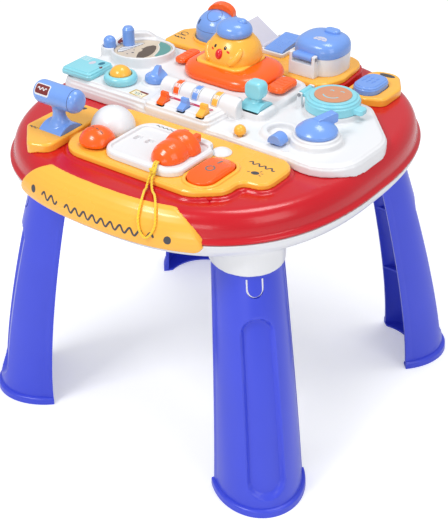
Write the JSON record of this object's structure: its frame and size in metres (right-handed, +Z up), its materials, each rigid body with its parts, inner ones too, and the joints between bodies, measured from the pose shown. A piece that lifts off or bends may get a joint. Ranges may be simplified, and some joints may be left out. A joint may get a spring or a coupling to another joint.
{
  "type": "musical activity table",
  "caption": "Low play table on splayed hollow legs, with a domed tray whose top carries hinged lids, keys, levers, wheels, knobs and a toy plug on a cord.",
  "frame": {"origin": "on the floor, under the middle of the table's bounding box", "axes": "+Z up, -Y towards the side with the front band, +X to the right of a child who stands at the front band"},
  "size_m": [0.451, 0.4692, 0.4505],
  "materials": {
    "red_plastic": "glossy moulded plastic",
    "white_plastic": "glossy moulded plastic",
    "yellow_plastic": "glossy moulded plastic",
    "orange_plastic": "glossy moulded plastic",
    "sky_plastic": "glossy moulded plastic",
    "aqua_plastic": "glossy moulded plastic",
    "leg_blue_plastic": "glossy moulded plastic",
    "salmon_plastic": "smooth inlay",
    "disc_print": null,
    "flap_grey": "thin satin sheet",
    "cord_yellow": "twisted soft cord",
    "pin_steel": "plain steel",
    "board_green": "laminate board",
    "speaker_grey": "plain dark frame and cone"
  },
  "bodies": {
    "table": {"tray": "red_plastic", "base_pan": "white_plastic", "front_band": "yellow_plastic", "leg_front_left": "leg_blue_plastic", "leg_front_right": "leg_blue_plastic", "leg_rear_left": "leg_blue_plastic", "leg_rear_right": "leg_blue_plastic", "console_panel": "white_plastic", "front_pad": "yellow_plastic", "toggle_pad": "yellow_plastic", "right_pad": "yellow_plastic", "rear_pad": "yellow_plastic", "kettle_pad": "yellow_plastic", "lamp_globe": "white_plastic", "socket_plate": "white_plastic", "pilot_lens": "white_plastic", "cassette_block": "aqua_plastic", "dome_collar": "aqua_plastic", "dish": "orange_plastic", "cooker_body": "white_plastic", "key_box": "white_plastic", "hinge_pins": "pin_steel", "circuit_boards": "board_green", "speaker": "speaker_grey", "battery_door": "white_plastic", "batteries": "pin_steel", "screws": "pin_steel"},
    "toggle": {"toggle_lever": "sky_plastic"},
    "lamp_push": {"lamp_button": "orange_plastic"},
    "plug": {"toy_plug": "orange_plastic", "plug_cord": "cord_yellow"},
    "rocker": {"oval_switch": "orange_plastic"},
    "dome_push": {"dome_button": "yellow_plastic"},
    "turntable": {"turntable_disc": "disc_print", "disc_handle": "sky_plastic"},
    "pillar_push": {"pillar_button": "sky_plastic"},
    "knob": {"rotary_knob": "sky_plastic"},
    "wheel_1": {"number_wheel_1": "orange_plastic"},
    "wheel_2": {"number_wheel_2": "sky_plastic"},
    "wheel_3": {"number_wheel_3": "yellow_plastic"},
    "tab_1": {"tab_key_1": "orange_plastic"},
    "tab_2": {"tab_key_2": "sky_plastic"},
    "tab_3": {"tab_key_3": "yellow_plastic"},
    "gear": {"gear_lever": "aqua_plastic"},
    "ball_push": {"ball_button": "yellow_plastic"},
    "half_push": {"half_round_key": "sky_plastic"},
    "stove": {"stove_knob": "sky_plastic"},
    "pan": {"pan_lid": "aqua_plastic", "pan_inlay": "salmon_plastic"},
    "key_left": {"side_key_left": "orange_plastic"},
    "key_right": {"side_key_right": "orange_plastic"},
    "figure": {"figure_body": "yellow_plastic", "figure_cap": "sky_plastic"},
    "right_push": {"right_button": "sky_plastic"},
    "cooker": {"cooker_lid": "sky_plastic"},
    "lid_push": {"cooker_button": "sky_plastic"},
    "ramp": {"ramp_key": "sky_plastic"},
    "flap": {"page_flap": "flap_grey"},
    "kettle": {"kettle_body": "sky_plastic", "kettle_handle": "orange_plastic"}
  },
  "joints": [
    {"name": "toggle_turn", "type": "hinge", "parent": "table", "child": "toggle", "pos_m": [-0.11653, -0.1474, 0.352], "axis": [1, 0, 0], "range_deg": [-25, 25]},
    {"name": "lamp_push_press", "type": "slide", "parent": "table", "child": "lamp_push", "axis": [0, 0, -1], "range_m": [0, 0.0025], "stiffness_N_per_m": 220, "springref_m": -0.0015},
    {"name": "plug_lift", "type": "slide", "parent": "table", "child": "plug", "axis": [0, 0, 1], "range_m": [0, 0.06]},
    {"name": "rocker_turn", "type": "hinge", "parent": "table", "child": "rocker", "pos_m": [0.08647, -0.1374, 0.368], "axis": [1, 0, 0], "range_deg": [-6, 6]},
    {"name": "dome_push_press", "type": "slide", "parent": "table", "child": "dome_push", "axis": [0, 0, -1], "range_m": [0, 0.0025], "stiffness_N_per_m": 220, "springref_m": -0.0015},
    {"name": "turntable_turn", "type": "hinge", "parent": "table", "child": "turntable", "pos_m": [-0.14953, 0.0426, 0.39], "axis": [-0.0616, 0.0616, 0.9962], "continuous": true},
    {"name": "pillar_push_press", "type": "slide", "parent": "table", "child": "pillar_push", "axis": [0, 0, -1], "range_m": [0, 0.0025], "stiffness_N_per_m": 220, "springref_m": -0.0015},
    {"name": "knob_turn", "type": "hinge", "parent": "table", "child": "knob", "pos_m": [-0.08753, -0.0094, 0.389], "axis": [0, 0, 1], "range_deg": [-60, 60]},
    {"name": "wheel_1_turn", "type": "hinge", "parent": "table", "child": "wheel_1", "pos_m": [-0.04453, -0.0164, 0.385], "axis": [1, 0, 0], "continuous": true},
    {"name": "wheel_2_turn", "type": "hinge", "parent": "table", "child": "wheel_2", "pos_m": [-0.01753, -0.0164, 0.385], "axis": [1, 0, 0], "continuous": true},
    {"name": "wheel_3_turn", "type": "hinge", "parent": "table", "child": "wheel_3", "pos_m": [0.01047, -0.0164, 0.385], "axis": [1, 0, 0], "continuous": true},
    {"name": "tab_1_press", "type": "slide", "parent": "table", "child": "tab_1", "axis": [0, 0, -1], "range_m": [0, 0.0025], "stiffness_N_per_m": 160, "springref_m": -0.0015},
    {"name": "tab_2_press", "type": "slide", "parent": "table", "child": "tab_2", "axis": [0, 0, -1], "range_m": [0, 0.0025], "stiffness_N_per_m": 160, "springref_m": -0.0015},
    {"name": "tab_3_press", "type": "slide", "parent": "table", "child": "tab_3", "axis": [0, 0, -1], "range_m": [0, 0.0025], "stiffness_N_per_m": 160, "springref_m": -0.0015},
    {"name": "gear_turn", "type": "hinge", "parent": "table", "child": "gear", "pos_m": [0.04747, 0.0016, 0.372], "axis": [1, 0, 0], "range_deg": [-12, 12]},
    {"name": "ball_push_press", "type": "slide", "parent": "table", "child": "ball_push", "axis": [0, 0, -1], "range_m": [0, 0.0025], "stiffness_N_per_m": 160, "springref_m": -0.0015},
    {"name": "half_push_press", "type": "slide", "parent": "table", "child": "half_push", "axis": [0, 0, -1], "range_m": [0, 0.0025], "stiffness_N_per_m": 160, "springref_m": -0.0015},
    {"name": "stove_turn", "type": "hinge", "parent": "table", "child": "stove", "pos_m": [0.14047, -0.0174, 0.387], "axis": [0, 0, 1], "range_deg": [0, 180]},
    {"name": "pan_turn", "type": "hinge", "parent": "table", "child": "pan", "pos_m": [0.07847, 0.0566, 0.391], "axis": [0, -1, 0], "range_deg": [0, 95]},
    {"name": "key_left_press", "type": "slide", "parent": "table", "child": "key_left", "axis": [0, 0, -1], "range_m": [0, 0.0025], "stiffness_N_per_m": 260, "springref_m": -0.0015},
    {"name": "key_right_press", "type": "slide", "parent": "table", "child": "key_right", "axis": [0, 0, -1], "range_m": [0, 0.0025], "stiffness_N_per_m": 260, "springref_m": -0.0015},
    {"name": "figure_press", "type": "slide", "parent": "table", "child": "figure", "axis": [0, 0, -1], "range_m": [0, 0.0025], "stiffness_N_per_m": 1400, "springref_m": -0.003},
    {"name": "right_push_press", "type": "slide", "parent": "table", "child": "right_push", "axis": [0, 0, -1], "range_m": [0, 0.0025], "stiffness_N_per_m": 300, "springref_m": -0.0015},
    {"name": "cooker_turn", "type": "hinge", "parent": "table", "child": "cooker", "pos_m": [0.03647, 0.1161, 0.4015], "axis": [1, 0, 0], "range_deg": [0, 90]},
    {"name": "lid_push_press", "type": "slide", "parent": "cooker", "child": "lid_push", "axis": [0, 0, -1], "range_m": [0, 0.0025], "stiffness_N_per_m": 160, "springref_m": -0.0015},
    {"name": "ramp_press", "type": "slide", "parent": "table", "child": "ramp", "axis": [0, 0, -1], "range_m": [0, 0.0025], "stiffness_N_per_m": 300, "springref_m": -0.0015},
    {"name": "flap_turn", "type": "hinge", "parent": "table", "child": "flap", "pos_m": [-0.04553, 0.1686, 0.381], "axis": [0, 1, 0], "range_deg": [-12, 72]},
    {"name": "kettle_turn", "type": "hinge", "parent": "table", "child": "kettle", "pos_m": [-0.11253, 0.1496, 0.38], "axis": [0, 0, 1], "range_deg": [-45, 45]}
  ]
}
